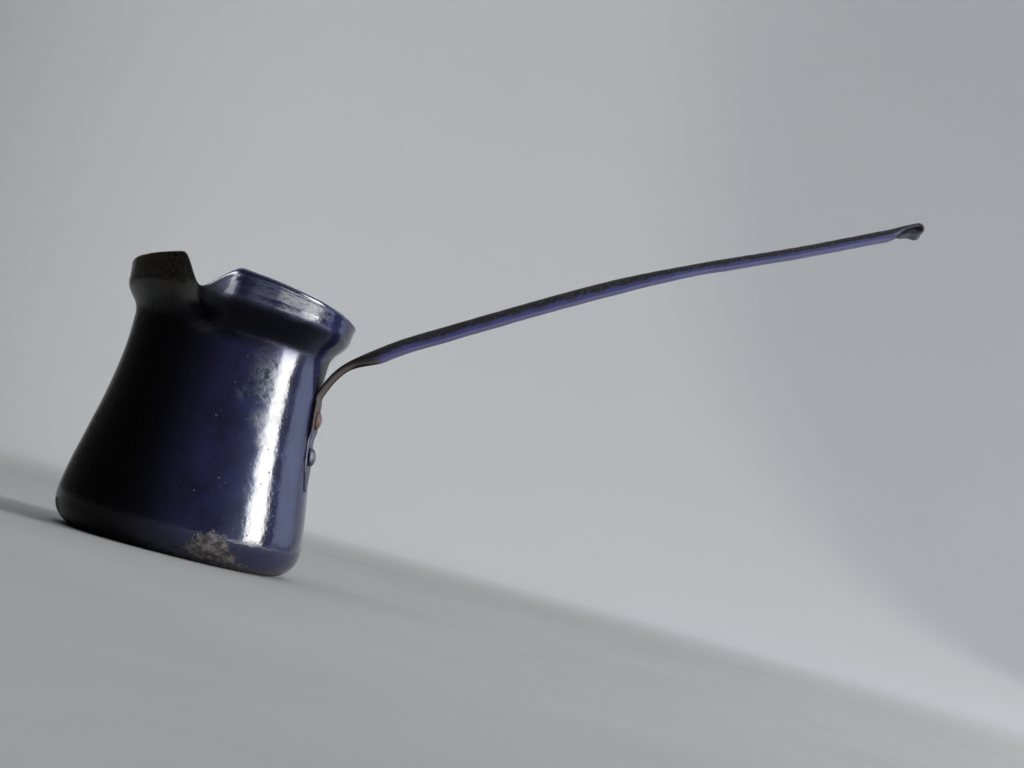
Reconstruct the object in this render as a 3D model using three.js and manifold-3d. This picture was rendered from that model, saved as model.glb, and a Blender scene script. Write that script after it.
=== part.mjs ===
// Small long-handled enamelled pot with a pinched pouring lip, in millimetres.
// +Z is up, the handle runs out along +X and the lip faces -Y.
// The origin is the centre of the underside, on the surface that the pot stands on.
import * as THREE from 'three';
import { mergeVertices } from 'three/addons/utils/BufferGeometryUtils.js';
import Module from 'manifold-3d';

const wasm = await Module();
wasm.setup();

// Shell
const wall = 1.0;
const baseRadius = 35;
const cornerRadius = 7.5;
const neckRadius = 28.2;
const neckHeight = 58;
const flankEase = [20, 10.5];
const flareStart = 61.5;
const flareEnd = 71.5;
const collarRadius = 32.6;
const rimRadius = 33.1;
const rimHeight = 74.7;
const rimRise = 3.9;

// Pouring lip, pinched out of the collar
const lipAngle = THREE.MathUtils.degToRad(-90);
const lipFarSide = { spread: THREE.MathUtils.degToRad(18.75), lift: 1.5 };
const lipHandleSide = { spread: THREE.MathUtils.degToRad(11.25), lift: 0.5 };
const lipReach = 8.7;
const lipDrop = 8.2;
const shoulderRun = THREE.MathUtils.degToRad(37);

// Handle, one strip of sheet steel with its edges turned down
const stripGauge = 1.0;
const footWidth = 6.6;
const stripWidth = 9;
const tipWidth = 8;
const footTipWidth = 2.4;
const footTipLength = 7;
const footLow = 25.5;
const footHigh = 53;
const channelDepth = 3.5;
const tipDepth = 2.1;
const curlRadius = 1.2;
const curlReturn = 5.6;
const curlPinch = 0.9;
const bendOut = [3.2, 6.9];
const sweepPoints = [[8.4, 12.4], [18.2, 19.8], [31, 27.6], [69, 49.6], [94.5, 61.9], [120.5, 73.3]];
const handleTip = [150.8, 87.6];

// Rivets
const rivetRadius = 1.6;
const rivetShares = [0.735, 0.35];
const rivetHeights = rivetShares.map((share) => footLow + (footHigh - footLow) * share);
const rivetNames = ['rivet_upper', 'rivet_lower'];
const outerHead = { radius: 2.5, height: 1.2 };
const innerHead = { radius: 2.9, height: 0.8 };

// Clearances between pieces that touch
const seatGap = 0.3;
const holeGap = 0.2;

const turns = 96;

function arcPoints(cx, cy, radius, from, to, count) {
  const points = [];
  for (let i = 0; i <= count; i += 1) {
    const angle = from + (to - from) * i / count;
    points.push(new THREE.Vector2(cx + radius * Math.cos(angle), cy + radius * Math.sin(angle)));
  }
  return points;
}

// Outside of the shell from the underside to the rim, as radius and height
function flankCurve() {
  return new THREE.CubicBezierCurve(
    new THREE.Vector2(baseRadius, cornerRadius),
    new THREE.Vector2(baseRadius, cornerRadius + flankEase[1]),
    new THREE.Vector2(neckRadius, neckHeight - flankEase[0]),
    new THREE.Vector2(neckRadius, neckHeight),
  );
}

function flareCurve() {
  const half = (flareEnd - flareStart) / 2;
  return new THREE.CubicBezierCurve(
    new THREE.Vector2(neckRadius, flareStart),
    new THREE.Vector2(neckRadius, flareStart + half),
    new THREE.Vector2(collarRadius, flareEnd - half),
    new THREE.Vector2(collarRadius, flareEnd),
  );
}

function outerProfile() {
  const corner = arcPoints(baseRadius - cornerRadius, cornerRadius, cornerRadius, -Math.PI / 2, 0, 5);
  return [
    ...corner,
    ...flankCurve().getPoints(8).slice(1),
    ...flareCurve().getPoints(7),
    new THREE.Vector2((collarRadius + rimRadius) / 2, (flareEnd + rimHeight) / 2),
    new THREE.Vector2(rimRadius, rimHeight - wall / 2),
  ];
}

// Shifts an open outline sideways, to the left of its direction when distance is positive
function offsetOutline(points, distance) {
  return points.map((point, i) => {
    const before = points[Math.max(i - 1, 0)];
    const after = points[Math.min(i + 1, points.length - 1)];
    const along = new THREE.Vector2().subVectors(after, before).normalize();
    return new THREE.Vector2(point.x - along.y * distance, point.y + along.x * distance);
  });
}

function shellProfile() {
  const outer = outerProfile();
  const inner = offsetOutline(outer, wall);
  inner[0].set(outer[0].x, wall);
  const last = outer[outer.length - 1];
  const rim = arcPoints(last.x - wall / 2, last.y, wall / 2, 0, Math.PI, 4).slice(1, -1);
  return [
    new THREE.Vector2(0, 0),
    ...outer,
    ...rim,
    ...inner.reverse(),
    new THREE.Vector2(0, wall),
  ];
}

// Lifts the rim towards the lip, then pulls the collar out and down into the lip
function pinchLip(position) {
  const radius = Math.hypot(position.x, position.y);
  const height = THREE.MathUtils.clamp((position.z - flareStart) / (rimHeight - flareStart), 0, 1);
  if (radius < collarRadius / 2 || height === 0) {
    return;
  }
  const angle = Math.atan2(position.y, position.x);
  const turn = Math.atan2(Math.sin(angle - lipAngle), Math.cos(angle - lipAngle));
  const side = turn > 0 ? lipHandleSide : lipFarSide;
  const away = Math.abs(turn);
  const pinch = Math.max(0, 1 - away / side.spread);
  const shoulder = Math.max(0, 1 - Math.max(0, away - side.spread) / shoulderRun) * (1 - pinch);
  const rise = rimRise * Math.max(0, Math.cos(turn)) + side.lift * shoulder ** 2;
  const pulled = radius + lipReach * pinch ** 1.5 * height ** 1.3;
  position.x = Math.cos(angle) * pulled;
  position.y = Math.sin(angle) * pulled;
  position.z += rise * height ** 4 - lipDrop * pinch ** 1.6 * height ** 1.5;
}

// Lathe about +Z, starting on the middle of the lip
function latheUp(profile, segments) {
  const geometry = new THREE.LatheGeometry(profile, segments);
  geometry.rotateX(Math.PI / 2);
  return geometry;
}

function toManifold(geometry) {
  const bare = geometry.clone();
  bare.deleteAttribute('normal');
  bare.deleteAttribute('uv');
  const merged = mergeVertices(bare, 1e-4);
  const corners = [];
  const index = merged.index.array;
  for (let i = 0; i < index.length; i += 3) {
    const [a, b, c] = [index[i], index[i + 1], index[i + 2]];
    if (a !== b && b !== c && a !== c) {
      corners.push(a, b, c);
    }
  }
  const mesh = new wasm.Mesh({
    numProp: 3,
    vertProperties: new Float32Array(merged.attributes.position.array),
    triVerts: new Uint32Array(corners),
  });
  return new wasm.Manifold(mesh);
}

function toGeometry(solid) {
  const mesh = solid.getMesh();
  const geometry = new THREE.BufferGeometry();
  geometry.setAttribute('position', new THREE.BufferAttribute(new Float32Array(mesh.vertProperties), 3));
  geometry.setIndex(new THREE.BufferAttribute(new Uint32Array(mesh.triVerts), 1));
  geometry.computeVertexNormals();
  return geometry;
}

// Where the outside of the shell is at a height on the flank, and which way it faces there
function flankAt(height) {
  const curve = flankCurve();
  let low = 0;
  let high = 1;
  for (let i = 0; i < 40; i += 1) {
    const middle = (low + high) / 2;
    if (curve.getPoint(middle).y < height) {
      low = middle;
    } else {
      high = middle;
    }
  }
  const along = curve.getTangent(low);
  return { point: curve.getPoint(low), facing: new THREE.Vector2(along.y, -along.x) };
}

function rivetCutter(height) {
  const { point, facing } = flankAt(height);
  const cutter = new THREE.CylinderGeometry(rivetRadius + holeGap, rivetRadius + holeGap, 16, 32);
  cutter.rotateZ(-Math.PI / 2);
  cutter.rotateY(-Math.atan2(facing.y, facing.x));
  cutter.translate(point.x, 0, point.y);
  return toManifold(cutter);
}

function drillRivetHoles(geometry) {
  const drilled = rivetHeights.reduce(
    (solid, height) => solid.subtract(rivetCutter(height)),
    toManifold(geometry),
  );
  return toGeometry(drilled);
}

function shellGeometry() {
  const geometry = latheUp(shellProfile(), turns);
  const positions = geometry.attributes.position;
  const position = new THREE.Vector3();
  for (let i = 0; i < positions.count; i += 1) {
    position.fromBufferAttribute(positions, i);
    pinchLip(position);
    positions.setXYZ(i, position.x, position.y, position.z);
  }
  return drillRivetHoles(geometry);
}

// Middle line of the strip in the XZ plane: up the flank, out along the handle, curled under
function stripLine() {
  const standOff = seatGap + stripGauge / 2;
  const foot = [];
  for (let i = 0; i <= 8; i += 1) {
    const { point, facing } = flankAt(footLow + (footHigh - footLow) * i / 8);
    foot.push(new THREE.Vector2(point.x + facing.x * standOff, point.y + facing.y * standOff));
  }
  const leave = foot[foot.length - 1];
  const reach = [bendOut, ...sweepPoints, handleTip].map(([x, z]) => new THREE.Vector2(leave.x + x, leave.y + z));
  const free = new THREE.SplineCurve([foot[foot.length - 2], leave, ...reach]);
  const run = free.getPoints(90).filter((point) => point.y > leave.y + 0.3);
  const tip = run[run.length - 1];
  const along = new THREE.Vector2().subVectors(tip, run[run.length - 2]).normalize();
  const down = new THREE.Vector2(along.y, -along.x);
  const heading = Math.atan2(-down.y, -down.x);
  const curl = arcPoints(
    tip.x + down.x * curlRadius,
    tip.y + down.y * curlRadius,
    curlRadius,
    heading,
    heading - Math.PI,
    8,
  );
  const end = curl[curl.length - 1];
  const back = new THREE.Vector2(
    end.x - along.x * curlReturn - down.x * curlPinch,
    end.y - along.y * curlReturn - down.y * curlPinch,
  );
  return { points: [...foot, ...run, ...curl.slice(1), back], channelFrom: leave.x, tip };
}

// Across the strip: width along Y, thickness along the line's left-hand side, edges turned under
function stripSection(width, depth) {
  const half = width / 2;
  const top = stripGauge / 2;
  const bevel = stripGauge * 0.35;
  return [
    [-half, top - depth],
    [-half + stripGauge, top - depth],
    [-half + stripGauge, -top],
    [half - stripGauge, -top],
    [half - stripGauge, top - depth],
    [half, top - depth],
    [half, top - bevel],
    [half - bevel, top],
    [-half + bevel, top],
    [-half, top - bevel],
  ];
}

function stripGeometry() {
  const { points, channelFrom, tip } = stripLine();
  const flat = stripGauge + 0.06;
  const rings = [];
  let run = 0;
  points.forEach((point, i) => {
    const before = points[Math.max(i - 1, 0)];
    const after = points[Math.min(i + 1, points.length - 1)];
    const along = new THREE.Vector2().subVectors(after, before).normalize();
    run += i > 0 ? point.distanceTo(before) : 0;
    const share = THREE.MathUtils.clamp((point.x - channelFrom) / (tip.x - channelFrom), 0, 1);
    const footShare = THREE.MathUtils.clamp(run / footTipLength, 0, 1);
    const rounded = Math.sqrt(1 - (1 - footShare) ** 2);
    const spread = THREE.MathUtils.smoothstep(share, 0.01, 0.1);
    const width = Math.min(
      THREE.MathUtils.lerp(footTipWidth, footWidth, rounded) + (stripWidth - footWidth) * spread,
      THREE.MathUtils.lerp(stripWidth, tipWidth, share),
    );
    const opening = THREE.MathUtils.smoothstep(share, 0.03, 0.09);
    const closing = 1 - THREE.MathUtils.smoothstep(share, 0.93, 0.97);
    const full = THREE.MathUtils.lerp(channelDepth, tipDepth, THREE.MathUtils.smoothstep(share, 0.45, 0.65));
    const depth = THREE.MathUtils.lerp(flat, full, opening * closing);
    rings.push(stripSection(width, depth).map(([y, lift]) => [
      point.x - along.y * lift,
      y,
      point.y + along.x * lift,
    ]));
  });
  return sweepRings(rings);
}

// Closed solid from a row of rings with the same number of corners
function sweepRings(rings) {
  const corners = rings[0].length;
  const faces = [];
  for (let i = 0; i + 1 < rings.length; i += 1) {
    for (let j = 0; j < corners; j += 1) {
      const next = (j + 1) % corners;
      const [a, b] = [i * corners + j, i * corners + next];
      const [c, d] = [a + corners, b + corners];
      faces.push(a, b, d, a, d, c);
    }
  }
  const outline = rings[0].map(([, y], j) => new THREE.Vector2(y, stripSection(footTipWidth, stripGauge + 0.06)[j][1]));
  const cap = THREE.ShapeUtils.triangulateShape(outline, []);
  const end = (rings.length - 1) * corners;
  cap.forEach(([a, b, c]) => {
    faces.push(a, c, b);
    faces.push(end + a, end + b, end + c);
  });
  const geometry = new THREE.BufferGeometry();
  geometry.setAttribute('position', new THREE.Float32BufferAttribute(rings.flat(2), 3));
  geometry.setIndex(faces);
  return geometry;
}

// Domed head outside, set head inside, one shank through both holes
function rivetGeometry() {
  const outerSeat = 2 * seatGap + stripGauge;
  const innerSeat = -wall - seatGap;
  const dome = [];
  for (let i = 0; i <= 6; i += 1) {
    const angle = (Math.PI / 2) * i / 6;
    dome.push(new THREE.Vector2(
      outerHead.radius * Math.cos(angle),
      outerSeat + outerHead.height * (0.25 + 0.75 * Math.sin(angle)),
    ));
  }
  const button = [];
  for (let i = 0; i <= 4; i += 1) {
    const angle = (Math.PI / 2) * i / 4;
    button.push(new THREE.Vector2(
      innerHead.radius * Math.sin(angle),
      innerSeat - innerHead.height * (0.4 + 0.6 * Math.cos(angle)),
    ));
  }
  const profile = [
    ...button,
    new THREE.Vector2(innerHead.radius, innerSeat),
    new THREE.Vector2(rivetRadius, innerSeat),
    new THREE.Vector2(rivetRadius, outerSeat),
    new THREE.Vector2(outerHead.radius, outerSeat),
    ...dome,
  ];
  profile[0].x = 0;
  profile[profile.length - 1].x = 0;
  return toGeometry(toManifold(new THREE.LatheGeometry(profile, 32)));
}

const enamel = { color: 0x1b1f5e, roughness: 0.15, metalness: 0 };
const finishes = {
  pot_body: enamel,
  handle_strap: { color: 0x2a2c52, roughness: 0.35, metalness: 0 },
  rivet_upper: { color: 0x5a4034, roughness: 0.8, metalness: 0.4 },
  rivet_lower: { color: 0x2b2d5a, roughness: 0.4, metalness: 0 },
};

function piece(name, geometry) {
  const mesh = new THREE.Mesh(geometry, new THREE.MeshStandardMaterial(finishes[name]));
  mesh.name = name;
  return mesh;
}

function rivet(name, height) {
  const { point, facing } = flankAt(height);
  const mesh = piece(name, rivetGeometry());
  mesh.rotation.z = Math.atan2(facing.y, facing.x) - Math.PI / 2;
  const holder = new THREE.Group();
  holder.rotation.x = Math.PI / 2;
  holder.position.set(point.x, 0, point.y);
  holder.add(mesh);
  return holder;
}

const pot = new THREE.Group();
pot.add(piece('pot_body', shellGeometry()));
pot.add(piece('handle_strap', drillRivetHoles(stripGeometry())));
rivetNames.forEach((name, i) => pot.add(rivet(name, rivetHeights[i])));

export default pot;
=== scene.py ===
import math

import bpy
import numpy as np
from mathutils import Matrix, Vector, noise


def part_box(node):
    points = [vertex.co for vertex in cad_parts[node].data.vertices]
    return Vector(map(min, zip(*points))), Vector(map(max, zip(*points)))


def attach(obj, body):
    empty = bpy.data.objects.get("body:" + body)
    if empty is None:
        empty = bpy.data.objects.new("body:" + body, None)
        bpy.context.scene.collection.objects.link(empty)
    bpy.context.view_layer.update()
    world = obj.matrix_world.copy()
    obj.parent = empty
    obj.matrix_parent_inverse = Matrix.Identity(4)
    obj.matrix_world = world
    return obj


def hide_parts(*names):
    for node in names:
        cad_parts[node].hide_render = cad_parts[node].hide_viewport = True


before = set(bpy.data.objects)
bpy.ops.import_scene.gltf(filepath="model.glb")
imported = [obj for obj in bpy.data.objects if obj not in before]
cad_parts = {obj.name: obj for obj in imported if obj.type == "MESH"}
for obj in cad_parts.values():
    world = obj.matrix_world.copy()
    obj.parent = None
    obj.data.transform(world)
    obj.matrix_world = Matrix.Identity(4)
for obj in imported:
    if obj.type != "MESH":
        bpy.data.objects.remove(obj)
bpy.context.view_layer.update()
mm = 0.001


class Wire:
    def __init__(self, shader, socket):
        self.shader = shader
        self.socket = socket

    def isVector(self):
        return self.socket.type in ("VECTOR", "RGBA")

    def combine(self, operation, first, second):
        vector = any(isinstance(x, Wire) and x.isVector() for x in (first, second))
        if not vector:
            return self.shader.node("ShaderNodeMath", {"operation": operation}, {0: first, 1: second})
        spread = [x if isinstance(x, (Wire, tuple)) else (x, x, x) for x in (first, second)]
        first, second = spread
        return self.shader.node("ShaderNodeVectorMath", {"operation": operation}, {0: first, 1: second})

    def __add__(self, other):
        return self.combine("ADD", self, other)

    def __radd__(self, other):
        return self.combine("ADD", other, self)

    def __sub__(self, other):
        return self.combine("SUBTRACT", self, other)

    def __rsub__(self, other):
        return self.combine("SUBTRACT", other, self)

    def __mul__(self, other):
        return self.combine("MULTIPLY", self, other)

    def __rmul__(self, other):
        return self.combine("MULTIPLY", other, self)

    def __truediv__(self, other):
        return self.combine("DIVIDE", self, other)


class Shader:
    def __init__(self, name):
        self.material = bpy.data.materials.new(name)
        self.material.use_nodes = True
        self.tree = self.material.node_tree
        self.tree.nodes.clear()

    # the one way to any node: its type, its settings first, then its sockets
    def node(self, kind, settings=None, sockets=None, out=0):
        made = self.tree.nodes.new(kind)
        for key, value in (settings or {}).items():
            if key == "stops":
                self.setStops(made.color_ramp, value)
            else:
                setattr(made, key, value)
        for key, value in (sockets or {}).items():
            if isinstance(value, Wire):
                self.tree.links.new(value.socket, made.inputs[key])
            else:
                made.inputs[key].default_value = value
        return Wire(self, made.outputs[out]) if made.outputs else None

    def setStops(self, ramp, stops):
        while len(ramp.elements) < len(stops):
            ramp.elements.new(0.5)
        for element, (position, colour) in zip(ramp.elements, stops):
            element.position = position
            element.color = (*colour, 1)

    def place(self):
        return self.node("ShaderNodeTexCoord", out="Object")

    def split(self, vector):
        return [self.node("ShaderNodeSeparateXYZ", sockets={0: vector}, out=i) for i in range(3)]

    def grain(self, size, detail=3.0, roughness=0.55, stretch=(1, 1, 1), shift=(0, 0, 0)):
        where = self.node("ShaderNodeMapping", sockets={
            "Vector": self.place(),
            "Location": shift,
            "Scale": tuple(k / size for k in stretch),
        })
        return self.node("ShaderNodeTexNoise", sockets={
            "Vector": where, "Scale": 1.0, "Detail": detail, "Roughness": roughness,
        })

    def cells(self, size, shift=(0, 0, 0)):
        where = self.node("ShaderNodeMapping", sockets={
            "Vector": self.place(), "Location": shift, "Scale": (1 / size, 1 / size, 1 / size),
        })
        return self.node("ShaderNodeTexVoronoi", {"feature": "F1"}, {"Vector": where, "Scale": 1.0})

    def fade(self, value, start, end, low=0.0, high=1.0):
        return self.node("ShaderNodeMapRange", {"interpolation_type": "SMOOTHSTEP", "clamp": True}, {
            0: value, 1: start, 2: end, 3: low, 4: high,
        })

    def most(self, first, second):
        return self.node("ShaderNodeMath", {"operation": "MAXIMUM"}, {0: first, 1: second})

    def blend(self, factor, first, second):
        colour = any(isinstance(x, tuple) or (isinstance(x, Wire) and x.isVector()) for x in (first, second))
        if not colour:
            return self.node("ShaderNodeMix", {"data_type": "FLOAT"}, {0: factor, 2: first, 3: second})
        first, second = [(*x, 1) if isinstance(x, tuple) and len(x) == 3 else x for x in (first, second)]
        return self.node("ShaderNodeMix", {"data_type": "RGBA"}, {0: factor, 6: first, 7: second}, out=2)

    # 1 at a spot on the piece, 0 away from it, with an edge that a noise eats into
    def spot(self, centre, radius, rag, soft=0.35, stretch=(1, 1, 1)):
        away = (self.place() - tuple(centre)) * tuple(stretch)
        far = self.node("ShaderNodeVectorMath", {"operation": "LENGTH"}, {0: away}, out="Value")
        ragged = far / radius + (rag - 0.5) * 1.6
        return self.fade(ragged, 1 - soft, 1 + soft, 1.0, 0.0)

    def bump(self, height, distance, strength=1.0, under=None):
        sockets = {"Height": height, "Distance": distance, "Strength": strength}
        if under is not None:
            sockets["Normal"] = under
        return self.node("ShaderNodeBump", sockets=sockets)

    def finish(self, **sockets):
        names = {key: key.replace("_", " ") for key in sockets}
        body = self.node("ShaderNodeBsdfPrincipled", sockets={names[k]: v for k, v in sockets.items()})
        self.node("ShaderNodeOutputMaterial", sockets={"Surface": body})
        return self.material


def meshPiece(name, points, faces, material, replaced):
    data = bpy.data.meshes.new(name)
    data.from_pydata([tuple(p) for p in points], [], faces)
    data.validate()
    data.update()
    data.polygons.foreach_set("use_smooth", [True] * len(data.polygons))
    piece = bpy.data.objects.new(name, data)
    bpy.context.scene.collection.objects.link(piece)
    data.materials.append(material)
    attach(piece, "root")
    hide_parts(replaced)
    return piece


def bezier(a, b, c, d, count):
    t = np.linspace(0, 1, count + 1)[:, None]
    a, b, c, d = [np.array(p, dtype=float) for p in (a, b, c, d)]
    return (1 - t) ** 3 * a + 3 * (1 - t) ** 2 * t * b + 3 * (1 - t) * t ** 2 * c + t ** 3 * d


def arc(centre, radius, start, end, count):
    angle = np.linspace(start, end, count + 1)
    return np.stack([centre[0] + radius * np.cos(angle), centre[1] + radius * np.sin(angle)], axis=1)


def easeUp(x):
    x = np.clip(x, 0, 1)
    return x * x * (3 - 2 * x)


# the shell's own sizes; the widest radius comes from the frame
shell = dict(
    wall=1.0 * mm,
    cornerRadius=7.5 * mm,
    neckRadius=28.2 * mm,
    neckHeight=58 * mm,
    flankEase=(20 * mm, 10.5 * mm),
    flareStart=61.5 * mm,
    flareEnd=71.5 * mm,
    collarRadius=32.6 * mm,
    rimRadius=33.0 * mm,
    rimHeight=74.6 * mm,
    rimRise=3.9 * mm,
    rimBead=0.60 * mm,
    baseDish=0.5 * mm,
    turns=288,
)

lip = dict(
    angle=math.radians(-90),
    handleSide=math.radians(10.6),
    farSide=math.radians(17.7),
    handleLift=0.45 * mm,
    farLift=1.45 * mm,
    run=math.radians(37),
    reach=8.6 * mm,
    drop=8.2 * mm,
    rounding=0.13,
)

ageing = dict(
    wobble=0.16 * mm,
    wobblesPerMetre=38,
    ripple=0.05 * mm,
    ripplesPerMetre=150,
    rimWave=0.10 * mm,
)

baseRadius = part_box("pot_body")[1].x


def flankCurve(count):
    return bezier(
        (baseRadius, shell["cornerRadius"]),
        (baseRadius, shell["cornerRadius"] + shell["flankEase"][1]),
        (shell["neckRadius"], shell["neckHeight"] - shell["flankEase"][0]),
        (shell["neckRadius"], shell["neckHeight"]),
        count,
    )


def flankAt(height):
    curve = flankCurve(400)
    radius = np.interp(height, curve[:, 1], curve[:, 0])
    step = 0.2 * mm
    below, above = np.interp((height - step, height + step), curve[:, 1], curve[:, 0])
    slope = above - below
    facing = Vector((2 * step, -slope)).normalized()
    return radius, facing


def wallPoint(degrees, height):
    radius = flankAt(height)[0]
    angle = math.radians(degrees)
    return Vector((radius * math.cos(angle), radius * math.sin(angle), height))


def outerProfile():
    s = shell
    half = (s["flareEnd"] - s["flareStart"]) / 2
    corner = arc((baseRadius - s["cornerRadius"], s["cornerRadius"]), s["cornerRadius"], -math.pi / 2, 0, 14)
    flare = bezier(
        (s["neckRadius"], s["flareStart"]),
        (s["neckRadius"], s["flareStart"] + half),
        (s["collarRadius"], s["flareEnd"] - half),
        (s["collarRadius"], s["flareEnd"]),
        16,
    )
    top = (s["rimRadius"], s["rimHeight"] - s["rimBead"])
    collar = np.linspace((s["collarRadius"], s["flareEnd"]), top, 9)
    flat = corner[0][0]
    underside = [(r, s["baseDish"] * (1 - (r / flat) ** 2)) for r in np.linspace(0.4 * mm, flat, 10)[:-1]]
    return np.concatenate([underside, corner, flankCurve(34)[1:], flare, collar[1:]])


def offsetLine(points, distance):
    along = np.gradient(points, axis=0)
    along /= np.linalg.norm(along, axis=1)[:, None]
    return points + np.stack([-along[:, 1], along[:, 0]], axis=1) * distance


# the rim climbs towards the lip, then the collar is drawn out and down into it
def pinchLip(points):
    angle = np.arctan2(points[:, 1], points[:, 0])
    radius = np.hypot(points[:, 0], points[:, 1])
    height = np.clip((points[:, 2] - shell["flareStart"]) / (shell["rimHeight"] - shell["flareStart"]), 0, 1)
    height = np.where(radius < shell["neckRadius"] / 2, 0, height)
    turn = np.arctan2(np.sin(angle - lip["angle"]), np.cos(angle - lip["angle"]))
    half = np.where(turn > 0, lip["handleSide"], lip["farSide"])
    lift = np.where(turn > 0, lip["handleLift"], lip["farLift"])
    soft = lip["rounding"]
    tent = 1 - (np.sqrt((np.abs(turn) / half) ** 2 + soft ** 2) - soft)
    pinch = 0.5 * (tent + np.sqrt(tent ** 2 + 0.3 * soft ** 2)) * easeUp((tent + 1) / 0.8)
    outside = np.clip((np.abs(turn) - half) / lip["run"], 0, 1)
    shoulder = (1 - outside) ** 2 * (1 - np.clip(pinch, 0, 1))
    facing = np.cos(turn)
    climb = shell["rimRise"] * 0.5 * (facing + np.sqrt(facing ** 2 + 0.04)) + lift * shoulder
    pulled = radius + lip["reach"] * pinch ** 1.5 * height ** 1.3
    lifted = points[:, 2] + climb * height ** 4 - lip["drop"] * pinch ** 1.6 * height ** 1.5
    return np.stack([np.cos(angle) * pulled, np.sin(angle) * pulled, lifted], axis=1)


def weather(points):
    moved = points.copy()
    radius = np.hypot(points[:, 0], points[:, 1])
    for i, p in enumerate(points):
        if radius[i] < shell["neckRadius"] / 2:
            continue
        out = Vector((p[0] / radius[i], p[1] / radius[i], 0))
        broad = noise.noise(Vector(p) * ageing["wobblesPerMetre"])
        fine = noise.noise(Vector(p) * ageing["ripplesPerMetre"] + Vector((7, 3, 1)))
        grow = min(1, p[2] / (8 * mm))
        push = (ageing["wobble"] * broad + ageing["ripple"] * fine) * grow
        moved[i, :2] += np.array(out.xy) * push
        high = easeUp((p[2] - shell["flareEnd"]) / (shell["rimHeight"] - shell["flareEnd"]))
        turn = Vector((out.x, out.y, 0.3)) * 3.4
        moved[i, 2] += ageing["rimWave"] * high * (noise.noise(turn) + 0.4 * noise.noise(turn * 3.1))
    return moved


def shellPiece(material):
    outer = outerProfile()
    inner = offsetLine(outer, shell["wall"])
    inner[:10, 1] = shell["wall"] + outer[:10, 1] * 0.6
    last = outer[-1]
    rim = arc((last[0] - shell["wall"] / 2, last[1]), shell["rimBead"], 0.0, math.pi, 8)
    rim[:, 1] = last[1] + (rim[:, 1] - last[1]) * 0.95
    profile = np.concatenate([outer[:-1], rim, inner[::-1][1:]])
    turns = shell["turns"]
    angles = np.linspace(0, 2 * math.pi, turns, endpoint=False) + lip["angle"]
    rings = [
        np.stack([r * np.cos(angles), r * np.sin(angles), np.full(turns, z)], axis=1)
        for r, z in profile
    ]
    points = weather(pinchLip(np.concatenate(rings)))
    points[:, 2] = np.maximum(points[:, 2], 0)
    faces = []
    for i in range(len(profile) - 1):
        for j in range(turns):
            k = (j + 1) % turns
            faces.append((i * turns + j, i * turns + k, (i + 1) * turns + k, (i + 1) * turns + j))
    faces.append(tuple(range(turns))[::-1])
    faces.append(tuple(range((len(profile) - 1) * turns, len(profile) * turns)))
    return meshPiece("enamel_shell", points, faces, material, "pot_body")


strip = dict(
    gauge=1.0 * mm,
    footWidth=6.6 * mm,
    width=9 * mm,
    tipWidth=8 * mm,
    footTipWidth=2.4 * mm,
    footTipLength=7 * mm,
    footLow=25.5 * mm,
    footHigh=53 * mm,
    depth=3.3 * mm,
    tipDepth=2.2 * mm,
    seam=0.08 * mm,
    footSquash=0.6,
    footBareFrom=42.5 * mm,
    curlRadius=1.0 * mm,
    curlReturn=5.6 * mm,
    curlPinch=0.95 * mm,
    standOff=0.12 * mm,
    reach=(
        (3.2, 6.9), (8.4, 12.4), (18.2, 19.8), (31, 27.6),
        (69, 49.6), (94.5, 61.9), (120.5, 73.3), (150.8, 87.6),
    ),
    foldFrom=0.03,
    foldUntil=0.95,
    taperFrom=0.45,
    bulbLength=5.5 * mm,
    bulbEnd=0.35,
    unevenDepth=0.22 * mm,
    unevenEdge=0.10 * mm,
)


def catmull(points, count):
    points = np.array(points)
    padded = np.concatenate([[2 * points[0] - points[1]], points, [2 * points[-1] - points[-2]]])
    made = []
    for i in range(len(points) - 1):
        a, b, c, d = padded[i:i + 4]
        for t in np.linspace(0, 1, count, endpoint=False):
            made.append(0.5 * (2 * b + (c - a) * t + (2 * a - 5 * b + 4 * c - d) * t ** 2
                               + (3 * b - a - 3 * c + d) * t ** 3))
    made.append(points[-1])
    return np.array(made)


def evenSpacing(line, step):
    lengths = np.concatenate([[0], np.cumsum(np.linalg.norm(np.diff(line, axis=0), axis=1))])
    stations = np.linspace(0, lengths[-1], int(lengths[-1] / step) + 1)
    return np.stack([np.interp(stations, lengths, line[:, i]) for i in (0, 1)], axis=1)


def stripLine():
    off = strip["standOff"] + strip["gauge"] / 2
    foot = []
    for height in np.linspace(strip["footLow"], strip["footHigh"], 12):
        radius, facing = flankAt(height)
        foot.append((radius + facing.x * off, height + facing.y * off))
    leave = np.array(foot[-1])
    free = [leave + np.array(p) * mm for p in strip["reach"]]
    smooth = catmull([foot[-2], foot[-1], *free], 14)
    run = evenSpacing(np.concatenate([foot[:-2], smooth]), 0.9 * mm)
    along = run[-1] - run[-2]
    along /= np.linalg.norm(along)
    down = np.array([along[1], -along[0]])
    heading = math.atan2(-down[1], -down[0])
    curl = arc(run[-1] + down * strip["curlRadius"], strip["curlRadius"], heading, heading - math.pi, 12)
    back = [curl[-1] - along * strip["curlReturn"] * t - down * strip["curlPinch"] * easeUp(t * 2.5)
            for t in np.linspace(0, 1, 11)[1:]]
    return np.concatenate([run, curl[1:], back]), leave[0], run[-1][0]


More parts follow.
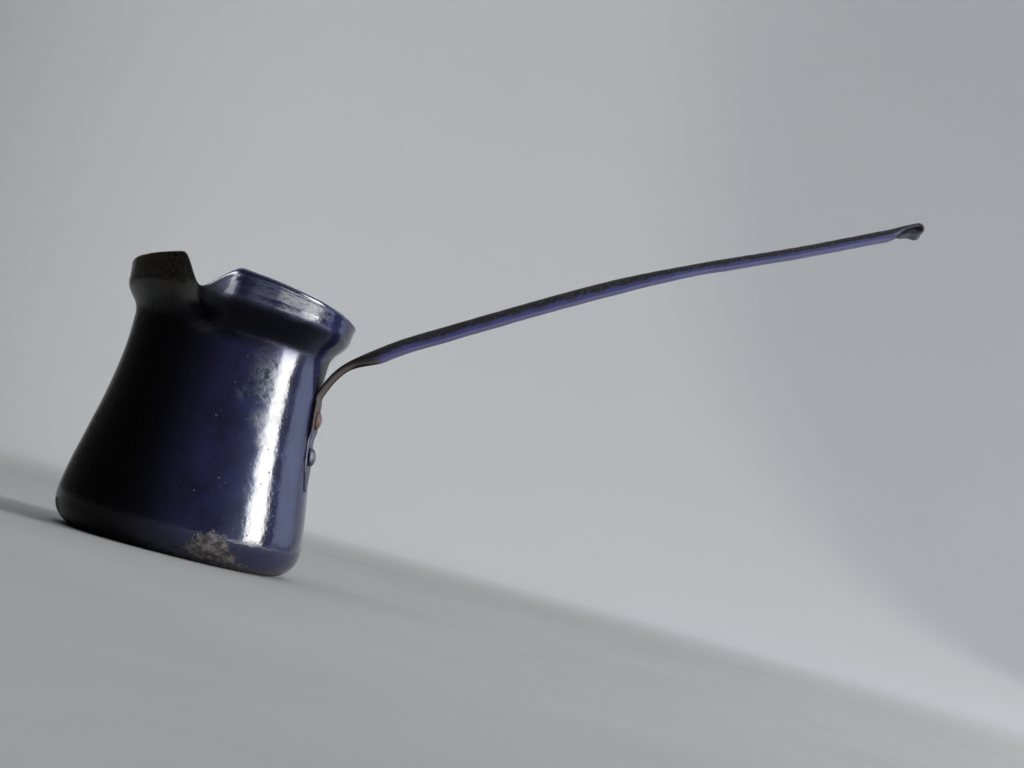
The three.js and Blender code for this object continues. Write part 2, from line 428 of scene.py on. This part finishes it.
# across the strip: top plate, rounded sides, and edges folded under as far as the seam
def stripSection(width, depth, fold):
    half = width / 2
    top = strip["gauge"] / 2
    low = top - depth
    bend = depth * 0.46
    sheet = min(strip["gauge"], (depth - strip["gauge"]) * 0.45)
    lipAt = (half - strip["gauge"]) * (1 - fold) + strip["seam"] * fold
    inside = half - strip["gauge"]
    rightSide = np.concatenate([
        [(lipAt, low + sheet), (lipAt - sheet * 0.4, low + sheet * 0.5), (lipAt, low)],
        np.linspace((lipAt, low), (half - bend, low), 5)[1:-1],
        arc((half - bend, low + bend), bend, -math.pi / 2, 0, 5),
        arc((half - bend, top - bend), bend, 0, math.pi / 2, 5),
        [(half * 0.45, top + 0.04 * mm)],
    ])
    leftSide = rightSide[::-1] * (-1, 1)
    hollow = [(-inside, low + sheet), (-inside, -top), (0, -top), (inside, -top), (inside, low + sheet)]
    return np.concatenate([rightSide, leftSide, hollow])


def handlePiece(material):
    line, channelFrom, tipX = stripLine()
    along = np.gradient(line, axis=0)
    along /= np.linalg.norm(along, axis=1)[:, None]
    lengths = np.concatenate([[0], np.cumsum(np.linalg.norm(np.diff(line, axis=0), axis=1))])
    total = lengths[-1]
    flat = strip["gauge"] + 0.10 * mm
    rings = []
    for i, (x, z) in enumerate(line):
        share = np.clip((x - channelFrom) / (tipX - channelFrom), 0, 1)
        foot = np.clip(lengths[i] / strip["footTipLength"], 0, 1)
        rounded = foot ** 0.9
        settled = 0.25 + 0.75 * easeUp(foot)
        ended = np.clip((total - lengths[i]) / strip["bulbLength"], 0, 1)
        tipRound = strip["bulbEnd"] + (1 - strip["bulbEnd"]) * math.sqrt(1 - (1 - ended) ** 2)
        low = easeUp((strip["footBareFrom"] - z) / (3 * mm)) * (x < channelFrom + 5 * mm)
        thin = 1 - (1 - strip["footSquash"]) * low
        wide = strip["footTipWidth"] + (strip["footWidth"] - strip["footTipWidth"]) * rounded
        wide += (strip["width"] - strip["footWidth"]) * easeUp((share - 0.01) / 0.09)
        width = min(wide, strip["width"] + (strip["tipWidth"] - strip["width"]) * share) * tipRound
        opening = easeUp((share - strip["foldFrom"]) / 0.06)
        opening *= 1 - easeUp((share - strip["foldUntil"]) / 0.04)
        taper = easeUp((share - strip["taperFrom"]) / 0.2)
        full = strip["depth"] + (strip["tipDepth"] - strip["depth"]) * taper
        waver = strip["unevenDepth"] * noise.noise(Vector((x * 95, 0, 3)))
        depth = flat + (full + waver - flat) * opening
        ring = []
        for y, lift in stripSection(width, depth, opening):
            rough = noise.noise(Vector((x * 520, y * 420, 9)))
            edge = easeUp((abs(y) - 0.3 * width) / (0.2 * width))
            push = strip["unevenEdge"] * rough * (0.25 + 0.75 * edge) * (0.35 + 0.65 * opening)
            inner = strip["gauge"] / 2
            lens = 1 - 1.8 * (1 - thin) * min(1, (2 * abs(y) / width) ** 2.6)
            lift = inner - (inner - lift) * thin * settled * max(0.12, lens) if lift < inner else lift
            lift += y * y / (2 * baseRadius) * (1 - opening)
            lift += push
            side = y + math.copysign(push * 0.5, y)
            ring.append((x - along[i, 1] * lift, side, z + along[i, 0] * lift))
        rings.append(ring)
    corners = len(rings[0])
    faces = []
    for i in range(len(rings) - 1):
        for j in range(corners):
            k = (j + 1) % corners
            faces.append((i * corners + j, i * corners + k, (i + 1) * corners + k, (i + 1) * corners + j))
    faces.append(tuple(range(corners))[::-1])
    faces.append(tuple(range((len(rings) - 1) * corners, len(rings) * corners)))
    points = [p for ring in rings for p in ring]
    return meshPiece("handle_strip", points, faces, material, "handle_strap")


rivets = dict(
    shank=1.6 * mm,
    outerRadius=2.6 * mm,
    outerRise=1.25 * mm,
    innerRadius=2.9 * mm,
    innerRise=0.8 * mm,
    hammered=0.16 * mm,
    shares=dict(rivet_upper=0.735, rivet_lower=0.35),
)


def rivetPiece(node, name, material, seed):
    height = strip["footLow"] + (strip["footHigh"] - strip["footLow"]) * rivets["shares"][node]
    radius, facing = flankAt(height)
    squash = strip["footSquash"] if height < strip["footBareFrom"] - 3 * mm else 1
    outerSeat = strip["standOff"] + strip["gauge"] * squash
    innerSeat = -shell["wall"]
    dome = [(rivets["outerRadius"] * math.cos(a) ** 0.8, outerSeat + rivets["outerRise"] * math.sin(a))
            for a in np.linspace(0, math.pi / 2 * 0.94, 10)]
    button = [(rivets["innerRadius"] * math.cos(a) ** 0.8, innerSeat - rivets["innerRise"] * math.sin(a))
              for a in np.linspace(math.pi / 2 * 0.94, 0, 8)]
    profile = button + [(rivets["shank"], innerSeat), (rivets["shank"], outerSeat)] + dome
    turns = 40
    points = []
    normal = Vector((facing.x, 0, facing.y))
    side = Vector((0, 1, 0))
    up = normal.cross(side)
    centre = Vector((radius, 0, height))
    for r, h in profile:
        for j in range(turns):
            angle = 2 * math.pi * j / turns
            uneven = noise.noise(Vector((math.cos(angle) * r * 700, math.sin(angle) * r * 700, seed)))
            lopsided = 1 + 0.05 * math.cos(angle + seed)
            rise = h + rivets["hammered"] * uneven * (1 if h > outerSeat or h < innerSeat else 0)
            out = r * lopsided
            across = side * (out * math.cos(angle)) + up * (out * math.sin(angle))
            points.append(centre + across + normal * rise)
    faces = []
    for i in range(len(profile) - 1):
        for j in range(turns):
            k = (j + 1) % turns
            faces.append((i * turns + k, i * turns + j, (i + 1) * turns + j, (i + 1) * turns + k))
    faces.append(tuple(range(turns)))
    faces.append(tuple(range((len(profile) - 1) * turns, len(profile) * turns))[::-1])
    return meshPiece(name, points, faces, material, node)


enamel = dict(
    blue=(0.017, 0.018, 0.062),
    deepBlue=(0.0085, 0.0088, 0.022),
    # painted shade, not the enamel's own colour: near-black for the pot's unlit side
    paintedShade=(0.0055, 0.0045, 0.004),
    # painted shade on the unlit collar, tinted brown
    shadeBrown=(0.046, 0.035, 0.029),
    # dark for soot specks, pinholes and the crazed spot, and also for the painted shade under the collar
    sootAndShade=(0.004, 0.004, 0.005),
    haze=(0.080, 0.092, 0.094),
    bareSteel=(0.125, 0.112, 0.122),
    darkScale=(0.006, 0.0055, 0.006),
    rust=(0.060, 0.024, 0.014),
    # where the painted shade on the pot's unlit side is centred
    shadeToward=math.radians(200),
    gloss=0.085,
    worn=0.36,
)

# scuffs on the flank as degrees round from the handle, height and radius in millimetres, and how heavy
scuffMarks = (
    (-51, 54, 4.2, 0.95), (-49, 49, 3.4, 0.9), (-61, 47, 2.3, 0.6), (-48, 41, 3.2, 0.85),
    (-44, 36, 2.6, 0.65),
    (-40, 48, 2.4, 0.8), (-39, 42, 2.0, 0.7),
    (-42, 58, 1.6, 0.35), (-40, 28, 2.0, 0.3), (-58, 58, 1.5, 0.3),
)

# chips near the base edge as degrees, height and radius in millimetres, and how much flatter than wide
chipMarks = ((-58, 3.4, 5.6, 1.15), (-49, 2.2, 3.6, 1.2), (-38, 1.4, 3.2, 2.4), (-150, 4.4, 3.0, 1.3))


def potEnamel():
    s = Shader("pot_enamel_aged")
    x, y, z = s.split(s.place())
    mottle = s.grain(9 * mm, detail=5, roughness=0.6)
    speck = s.grain(0.9 * mm, detail=2)
    fine = s.grain(0.35 * mm, detail=2)
    rag = s.grain(2.2 * mm, detail=6, roughness=0.68)
    drift = s.grain(1.3 * mm, detail=3, stretch=(1, 1, 0.28))

    colour = s.blend(s.fade(mottle, 0.22, 0.78), enamel["deepBlue"], enamel["blue"])
    colour = s.blend(s.fade(drift, 0.45, 0.85) * 0.35, colour, enamel["deepBlue"])
    colour = s.blend(s.fade(speck, 0.64, 0.74) * 0.6, colour, enamel["sootAndShade"])

    # painted shade: the side of the pot away from the light is darkened nearly to black, with a blotchy edge
    toward = enamel["shadeToward"]
    side = (x * math.cos(toward) + y * math.sin(toward)) / baseRadius
    paintedShade = s.fade(side + (mottle - 0.5) * 0.35, 0.0, 0.62)
    colour = s.blend(paintedShade * 0.94, colour, enamel["paintedShade"])
    # painted shade on the upper collar's unlit side, blotched brown and black
    collarShade = s.fade(z + (rag - 0.5) * (5 * mm), 63 * mm, 70 * mm) * s.fade(side, 0.25, 0.6)
    collarBlotch = s.grain(1.1 * mm, detail=4, roughness=0.7)
    brown = s.blend(s.fade(collarBlotch, 0.4, 0.65), enamel["paintedShade"], enamel["shadeBrown"])
    colour = s.blend(collarShade * 0.85, colour, brown)

    # painted shade held under the collar, thickest on the lip side
    underShadeLow = s.fade(z + (mottle - 0.5) * (6 * mm), 58 * mm, 63.5 * mm)
    underShadeHigh = s.fade(z + (mottle - 0.5) * (3 * mm), 69 * mm, 72 * mm, 1.0, 0.0)
    underCollarShade = underShadeLow * underShadeHigh * s.fade(y, 0.0, -20 * mm)
    colour = s.blend(underCollarShade * 0.8, colour, enamel["sootAndShade"])

    scuffs = None
    for degrees, height, radius, weight in scuffMarks:
        centre = wallPoint(degrees, height * mm)
        mark = s.spot(centre, radius * mm, rag, soft=0.5) * weight
        scuffs = mark if scuffs is None else s.most(scuffs, mark)
    scratched = scuffs * s.fade(rag, 0.40, 0.56) * (s.fade(fine, 0.30, 0.66) * 0.5 + 0.5)
    colour = s.blend(scratched * 0.62, colour, enamel["haze"])
    pinholes = s.fade(s.cells(2.6 * mm, shift=(2, 1, 4)), 0.07, 0.12, 1.0, 0.0) * s.fade(rag, 0.5, 0.6)
    colour = s.blend(pinholes * 0.9, colour, enamel["sootAndShade"])

    # black where the enamel crazed at the root of the handle
    crazed = s.spot(wallPoint(5, 56.5 * mm), 6 * mm, rag, soft=0.35, stretch=(1, 1, 0.7))
    colour = s.blend(crazed * 0.92, colour, enamel["sootAndShade"])

    edgeWear = s.fade(z + (rag - 0.5) * (6 * mm), 0.3 * mm, 2.0 * mm, 1.0, 0.0)
    chips = edgeWear * 0.8
    for degrees, height, radius, squash in chipMarks:
        turn = math.radians(degrees)
        reach = baseRadius - 0.8 * mm
        centre = (reach * math.cos(turn), reach * math.sin(turn), height * mm)
        chips = s.most(chips, s.spot(centre, radius * mm, rag, soft=0.14, stretch=(1, 1, squash)))
    clots = s.grain(1.5 * mm, detail=5, roughness=0.7, shift=(3, 1, 2))
    flakes = s.grain(1.8 * mm, detail=6, roughness=0.75)
    bare = s.blend(s.fade(flakes, 0.44, 0.60), enamel["darkScale"], enamel["bareSteel"])
    bare = s.blend(s.fade(clots, 0.5, 0.66) * 0.75, bare, enamel["rust"])
    bare = s.blend(s.fade(z, 0.6 * mm, 2.2 * mm, 0.75, 0.0), bare, enamel["darkScale"])
    colour = s.blend(chips, colour, bare)

    roughness = s.blend(s.fade(mottle, 0.3, 0.8), enamel["gloss"], enamel["gloss"] * 1.9)
    roughness = s.blend(paintedShade * 0.5, roughness, 0.30)
    roughness = s.blend(underCollarShade * 0.5, roughness, 0.4)
    roughness = s.blend(scratched * 0.75, roughness, enamel["worn"])
    roughness = s.blend(crazed * 0.8, roughness, 0.5)
    roughness = s.blend(s.fade(speck, 0.6, 0.7) * 0.25, roughness, 0.5)
    roughness = s.blend(chips, roughness, 0.6)

    peel = s.grain(1.4 * mm, detail=2)
    wave = s.grain(6 * mm, detail=3)
    normal = s.bump(wave, 0.16 * mm, 0.8)
    normal = s.bump(peel, 0.025 * mm, 0.7, normal)
    normal = s.bump((1 - chips) + clots * chips * 0.8, 0.22 * mm, 1.0, normal)
    normal = s.bump(fine * scratched, 0.02 * mm, 1.0, normal)
    normal = s.bump(1 - pinholes, 0.08 * mm, 1.0, normal)
    # metallic takes the shine off the painted shade on the unlit side and under the collar, so it stays dark
    shadeDulling = s.most(paintedShade * 0.8, underCollarShade * 0.85) * (1 - chips) * (1 - collarShade * 0.75)
    return s.finish(Base_Color=colour, Roughness=roughness, Metallic=shadeDulling, Normal=normal, IOR=1.55)


strapFinish = dict(
    blue=(0.046, 0.046, 0.18),
    dullBlue=(0.026, 0.028, 0.10),
    black=(0.0045, 0.0042, 0.0050),
    ash=(0.075, 0.070, 0.070),
    steel=(0.044, 0.030, 0.027),
    rust=(0.050, 0.022, 0.016),
    # faces turned this way get the worn crust and painted shade
    wearAndShadeTowards=(-0.45, -0.12, 0.88),
    bareAbove=42 * mm,
    bareWithin=42 * mm,
    tipFrom=172 * mm,
)


def strapEnamel():
    s = Shader("handle_enamel_worn")
    x, y, z = s.split(s.place())
    coarse = s.grain(5 * mm, detail=5, roughness=0.65)
    fine = s.grain(0.5 * mm, detail=4, roughness=0.7)
    pits = s.grain(0.9 * mm, detail=4, roughness=0.7, shift=(5, 2, 1))
    facing = s.node("ShaderNodeNewGeometry", out="Normal")
    towards = strapFinish["wearAndShadeTowards"]
    up = s.node("ShaderNodeVectorMath", {"operation": "DOT_PRODUCT"}, {0: facing, 1: towards}, out="Value")
    # worn crust on the faces turned up, which also serves as painted shade on those faces
    worn = s.fade(up + (coarse - 0.5) * 1.1 + (pits - 0.5) * 0.9, -0.40, -0.10)
    colour = s.blend(s.fade(coarse, 0.32, 0.72), strapFinish["blue"], strapFinish["dullBlue"])
    colour = s.blend(s.fade(pits, 0.62, 0.72) * 0.5, colour, strapFinish["black"])
    crust = s.blend(s.fade(fine, 0.50, 0.68), strapFinish["black"], strapFinish["ash"])
    # painted shade: the faces turned most up are painted black
    crust = s.blend(s.fade(up, 0.35, 0.8) * 0.8, crust, strapFinish["black"])
    crust = s.blend(s.fade(coarse, 0.55, 0.7) * 0.5, crust, strapFinish["rust"])
    colour = s.blend(worn * 0.95, colour, crust)

    bareUntil, bareFrom = strapFinish["bareWithin"], strapFinish["bareAbove"]
    fading = s.fade(x + (coarse - 0.5) * (7 * mm), bareUntil - 1 * mm, bareUntil + 2.5 * mm, 1.0, 0.0)
    above = s.fade(z + (pits - 0.5) * (3 * mm), bareFrom, bareFrom + 1.2 * mm)
    bare = fading * above
    darkSteel = tuple(c * 0.3 for c in strapFinish["steel"])
    steel = s.blend(s.fade(fine, 0.38, 0.66), darkSteel, strapFinish["steel"])
    steel = s.blend(s.fade(pits, 0.48, 0.66) * 0.7, steel, strapFinish["rust"])
    # painted shade: bare steel turned up is painted black
    steel = s.blend(s.fade(up + (pits - 0.5) * 0.6, -0.35, 0.1) * 0.9, steel, strapFinish["black"])
    colour = s.blend(bare, colour, steel)

    tip = s.fade(x + (coarse - 0.5) * (5 * mm), strapFinish["tipFrom"], strapFinish["tipFrom"] + 4 * mm)
    tipColour = s.blend(s.fade(pits, 0.4, 0.62), strapFinish["black"], strapFinish["ash"])
    colour = s.blend(tip * 0.75, colour, tipColour)
    foot = 1 - above
    colour = s.blend(foot, colour, s.blend(s.fade(coarse, 0.3, 0.7), enamel["deepBlue"], enamel["blue"]))
    rough = s.blend(worn, 0.38, 0.62)
    rough = s.blend(s.most(bare, tip), rough, 0.55)
    rough = s.blend(foot, rough, 0.12)
    normal = s.bump(pits * (1 - foot * 0.8), 0.14 * mm, 0.6)
    normal = s.bump(fine * s.most(worn, bare), 0.10 * mm, 0.9, normal)
    return s.finish(Base_Color=colour, Roughness=rough, Metallic=0.0, Normal=normal, IOR=1.5)


rivetFinish = dict(
    rusted=dict(light=(0.15, 0.082, 0.060), dark=(0.040, 0.024, 0.020), roughness=0.55),
    enamelled=dict(light=(0.085, 0.088, 0.14), dark=(0.022, 0.022, 0.036), roughness=0.2),
)


def rustySteel(name, light, dark, roughness):
    s = Shader(name)
    coarse = s.grain(1.6 * mm, detail=5, roughness=0.7)
    fine = s.grain(0.4 * mm, detail=3)
    colour = s.blend(s.fade(coarse, 0.38, 0.62), dark, light)
    colour = s.blend(s.fade(fine, 0.5, 0.7) * 0.6, colour, tuple(c * 0.4 for c in dark))
    rough = s.blend(coarse, roughness, min(1, roughness + 0.2))
    normal = s.bump(fine, 0.05 * mm, 0.8, s.bump(coarse, 0.15 * mm, 0.8))
    return s.finish(Base_Color=colour, Roughness=rough, Metallic=0.0, Normal=normal)


studio = dict(
    floorTone=(0.27, 0.27, 0.265),
    wallTone=(0.62, 0.625, 0.63),
    # painted shade colour for the dark side of the room
    darkTone=(0.045, 0.042, 0.036),
    darkToward=math.radians(222),
    floorRadius=0.9,
    wallRadius=2.0,
    wallHeight=2.2,
    # emission painted on the floor: daylight and a brighter pool of light
    daylight=(1.0, 1.1, 1.4),
    daylightToward=math.radians(-20),
    pool=(6.0, 5.9, 5.8),
    air=(0.80, 0.83, 0.88),
    airStrength=0.95,
)


# pale sheet swept up into the wall, with one side of the room painted dark as shade
def bowlMaterial():
    s = Shader("studio_paper")
    x, y, z = s.split(s.place())
    tooth = s.grain(60 * mm, detail=3)
    toward = studio["darkToward"]
    away = s.node("ShaderNodeMath", {"operation": "SQRT"}, {0: x * x + y * y + 0.0001})
    side = (x * math.cos(toward) + y * math.sin(toward)) / away
    unlit = s.fade(side, -0.45, 0.25) * s.fade(away, 0.45, 0.95)
    colour = s.blend(s.fade(away, 0.3, 1.05), studio["floorTone"], studio["wallTone"])
    colour = s.blend((tooth - 0.5) * 0.15 + 0.05, colour, studio["wallTone"])
    # painted shade: that side of the sheet is painted nearly black
    colour = s.blend(unlit * 0.97, colour, studio["darkTone"])
    # painted daylight: the far part of the floor glows toward the window, with a brighter painted pool of
    # light straight toward it
    toWindow = (x * math.cos(studio["daylightToward"]) + y * math.sin(studio["daylightToward"])) / away
    daylight = s.fade(toWindow, 0.52, 0.8) * s.fade(away, 0.42, 0.62) * s.fade(z, 0.0, 0.06, 1.0, 0.0)
    pool = s.fade(toWindow, 0.905, 0.965) * s.fade(away, 0.42, 0.58) * s.fade(z, 0.0, 0.06, 1.0, 0.0)
    glow = s.blend(daylight, (0, 0, 0), studio["daylight"])
    glow = s.blend(pool, glow, studio["pool"])
    return s.finish(Base_Color=colour, Roughness=0.9, Emission_Color=glow, Emission_Strength=1.0)


def stagePiece(name, points, faces, material):
    data = bpy.data.meshes.new(name)
    data.from_pydata(points, [], faces)
    data.polygons.foreach_set("use_smooth", [True] * len(data.polygons))
    piece = bpy.data.objects.new(name, data)
    bpy.context.scene.collection.objects.link(piece)
    data.materials.append(material)
    return piece


def studioBowl():
    flat = np.linspace((0.001, 0), (studio["floorRadius"], 0), 12)
    bend = studio["wallRadius"] - studio["floorRadius"]
    sweep = arc((studio["floorRadius"], bend), bend, -math.pi / 2, 0, 16)
    wallTop = np.linspace((studio["wallRadius"], bend), (studio["wallRadius"], studio["wallHeight"]), 6)
    profile = np.concatenate([flat, sweep[1:], wallTop[1:]])
    turns = 96
    points = [(r * math.cos(a), r * math.sin(a), z) for r, z in profile
              for a in np.linspace(0, 2 * math.pi, turns, endpoint=False)]
    faces = []
    for i in range(len(profile) - 1):
        for j in range(turns):
            k = (j + 1) % turns
            faces.append((i * turns + j, i * turns + k, (i + 1) * turns + k, (i + 1) * turns + j))
    return stagePiece("studio_floor", points, faces, bowlMaterial())


# what stands round the handle side of the room: degrees round from the handle, and how bright it is there
window = dict(
    distance=1.02,
    low=0.03,
    high=0.80,
    glow=21.0,
    brightness=(
        (-64, 0.0), (-40, 0.005), (-22, 0.030), (-14.5, 0.09), (-11, 0.85), (-8, 1.0), (4, 1.0), (6.5, 0.75),
        (8.5, 0.007), (20, 0.010), (23.5, 0.080), (42, 0.055), (54, 0.030),
    ),
    daylight=(1.0, 0.985, 0.96),
    skylight=(0.72, 0.84, 1.12),
)


def windowMaterial():
    s = Shader("studio_window")
    x, y, z = s.split(s.place())
    first, last = window["brightness"][0][0], window["brightness"][-1][0]
    angle = s.node("ShaderNodeMath", {"operation": "ARCTAN2"}, {0: y, 1: x})
    across = (angle - math.radians(first)) / math.radians(last - first)
    span = last - first
    ramp = window["brightness"]
    stops = [((degrees - first) / span, (bright, bright, bright)) for degrees, bright in ramp]
    light = s.node("ShaderNodeValToRGB", {"stops": stops}, {"Fac": across})
    skyBefore = s.fade(angle, math.radians(-9), math.radians(-15))
    skyAfter = s.fade(angle, math.radians(8), math.radians(12))
    tint = s.blend(skyBefore, window["daylight"], window["skylight"])
    tint = s.blend(skyAfter, tint, window["skylight"])
    low, high = window["low"], window["high"]
    ends = s.fade(z, low, low + 0.04) * s.fade(z, high - 0.2, high, 1.0, 0.0)
    return s.finish(
        Base_Color=(0, 0, 0, 1), Emission_Color=light * tint * ends, Emission_Strength=window["glow"],
    )


def curvedPanel(name, start, end, distance, low, high, material):
    across = np.linspace(start, end, 49)
    points = [(distance * math.cos(a), distance * math.sin(a), z) for a in across for z in (low, high)]
    faces = [(2 * i, 2 * i + 1, 2 * i + 3, 2 * i + 2) for i in range(len(across) - 1)]
    return stagePiece(name, points, faces, material)


def softbox(name, place, size, power, aim=(0, 0, 0.04), colour=(1, 1, 1)):
    light = bpy.data.lights.new(name, "AREA")
    light.shape = "RECTANGLE"
    light.size, light.size_y = size
    light.energy = power
    light.color = colour
    lamp = bpy.data.objects.new(name, light)
    bpy.context.scene.collection.objects.link(lamp)
    lamp.location = place
    lamp.rotation_euler = (Vector(aim) - Vector(place)).to_track_quat("-Z", "Y").to_euler()
    lamp.visible_camera = False
    return lamp


def studioLights():
    start, end = [math.radians(window["brightness"][i][0]) for i in (0, -1)]
    heights = (window["low"], window["high"])
    curvedPanel("studio_window", start, end, window["distance"], *heights, windowMaterial())
    softbox("overhead", (0.1, -0.1, 1.7), (1.8, 1.8), 8, colour=(1, 0.985, 0.96))
    world = bpy.data.worlds.new("studio_air")
    world.use_nodes = True
    world.node_tree.nodes["Background"].inputs["Color"].default_value = (*studio["air"], 1)
    world.node_tree.nodes["Background"].inputs["Strength"].default_value = studio["airStrength"]
    bpy.context.scene.world = world


cameraPose = dict(
    turn=math.radians(16.5),
    distance=451.5 * mm,
    height=23.4 * mm,
    yaw=math.radians(10.3),
    pitch=math.radians(6.09),
    roll=math.radians(15.03),
    lens=54.51,
)


def placeCamera():
    c = cameraPose
    level = math.cos(c["pitch"])
    forward = Vector((math.sin(c["yaw"]) * level, math.cos(c["yaw"]) * level, math.sin(c["pitch"])))
    right = forward.cross(Vector((0, 0, 1))).normalized()
    up = right.cross(forward)
    axes = Matrix((
        right * math.cos(c["roll"]) + up * math.sin(c["roll"]),
        up * math.cos(c["roll"]) - right * math.sin(c["roll"]),
        -forward,
    )).transposed().to_4x4()
    place = Matrix.Translation((0, -c["distance"], c["height"]))
    data = bpy.data.cameras.new("camera")
    data.lens = c["lens"]
    data.sensor_width = 36
    data.clip_start = 0.01
    camera = bpy.data.objects.new("camera", data)
    bpy.context.scene.collection.objects.link(camera)
    camera.matrix_world = Matrix.Rotation(c["turn"], 4, "Z") @ place @ axes
    bpy.context.scene.camera = camera


bpy.context.scene.view_settings.view_transform = "Standard"

shellPiece(potEnamel())
print("shell made")
handlePiece(strapEnamel())
print("handle made")
rust = rustySteel("rivet_rust", **rivetFinish["rusted"])
rivetPiece("rivet_upper", "rivet_rusted", rust, 2.0)
overcoat = rustySteel("rivet_blue", **rivetFinish["enamelled"])
rivetPiece("rivet_lower", "rivet_enamelled", overcoat, 5.0)
print("rivets made")
studioBowl()
studioLights()
placeCamera()
print("studio set")
